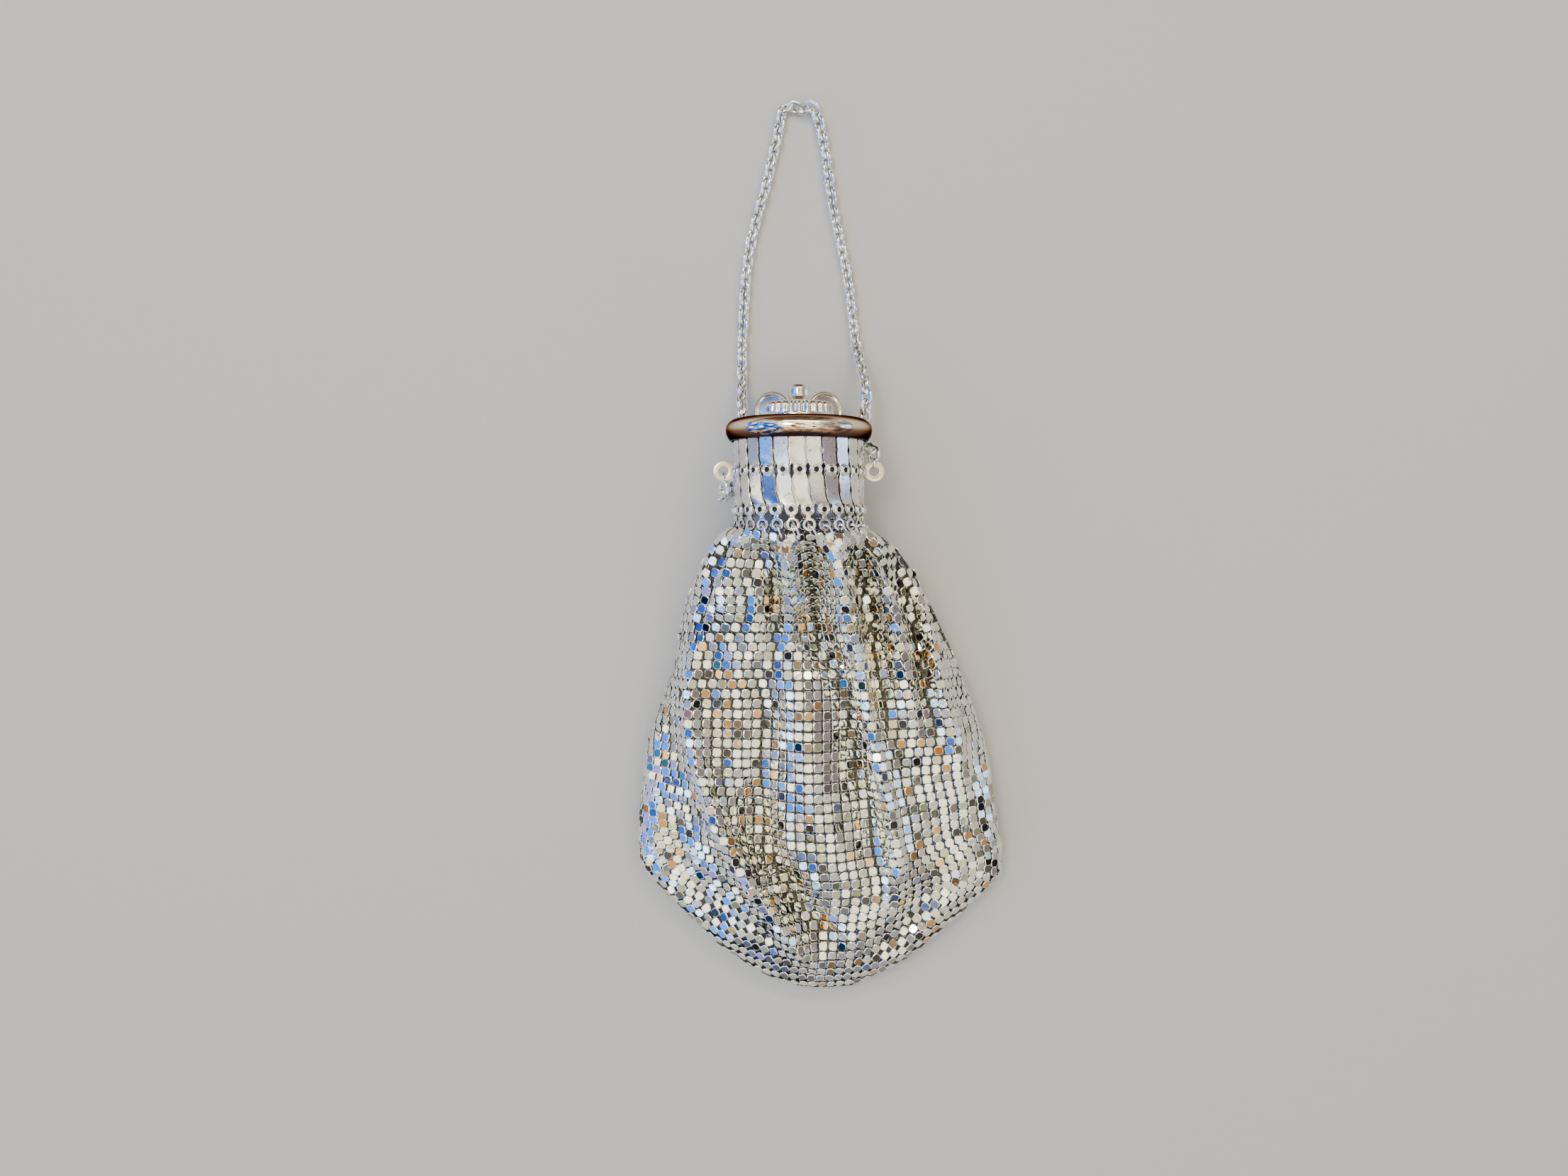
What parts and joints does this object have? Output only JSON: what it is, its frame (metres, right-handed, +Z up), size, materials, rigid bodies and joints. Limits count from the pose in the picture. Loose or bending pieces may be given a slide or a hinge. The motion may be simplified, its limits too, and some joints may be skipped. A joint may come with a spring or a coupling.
{
  "type": "metal mesh purse",
  "caption": "Collapse-top metal mesh purse lying on its back: riveted slat collar, capped lid with knob, draped pouch and chain handle.",
  "frame": {"origin": "middle of the footprint, on the table that the purse lies on", "axes": "+Z up from the table, +Y from the pouch toward the chain handle, +X to the right when seen from above"},
  "size_m": [0.1152, 0.2822, 0.0446],
  "materials": {
    "mesh": "small polished metal tiles, lightly worn",
    "frame": "polished silver-tone plate with light pitting",
    "chain": "polished silver-tone wire"
  },
  "bodies": {
    "root": {"mesh_bag": "mesh", "gate": "frame", "lid": "frame", "lid_boss": "frame", "lid_knob": "frame", "lid_lobe_left": "frame", "lid_lobe_right": "frame", "side_ring_left": "frame", "side_ring_right": "frame", "jump_ring_left": "chain", "jump_ring_right": "chain", "chain": "chain"}
  },
  "joints": []
}
